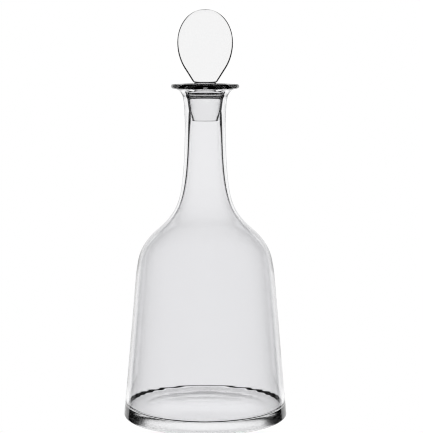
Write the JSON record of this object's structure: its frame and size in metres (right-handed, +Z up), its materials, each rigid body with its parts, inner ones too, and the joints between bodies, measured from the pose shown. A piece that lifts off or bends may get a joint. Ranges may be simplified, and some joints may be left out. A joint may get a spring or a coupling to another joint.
{
  "type": "wine decanter",
  "caption": "Clear glass wine decanter with a slim neck, flanged lip, widening body and thick base, closed by a solid glass stopper with a flat oval paddle.",
  "frame": {"origin": "centre of the underside, on the plane that the decanter stands on", "axes": "+Z up along the axis of the body, the stopper's flat paddle faces -Y and +Y"},
  "size_m": [0.1292, 0.1292, 0.32],
  "materials": {
    "vessel_glass": "clear blown glass, fire polished",
    "stopper_glass": "clear solid glass, polished, plug ground to the seat"
  },
  "bodies": {
    "decanter": {"vessel": "vessel_glass"},
    "stopper": {"stopper": "stopper_glass"}
  },
  "joints": [
    {"name": "stopper_lift", "type": "slide", "parent": "decanter", "child": "stopper", "axis": [0, 0, 1], "range_m": [0, 0.035]}
  ]
}
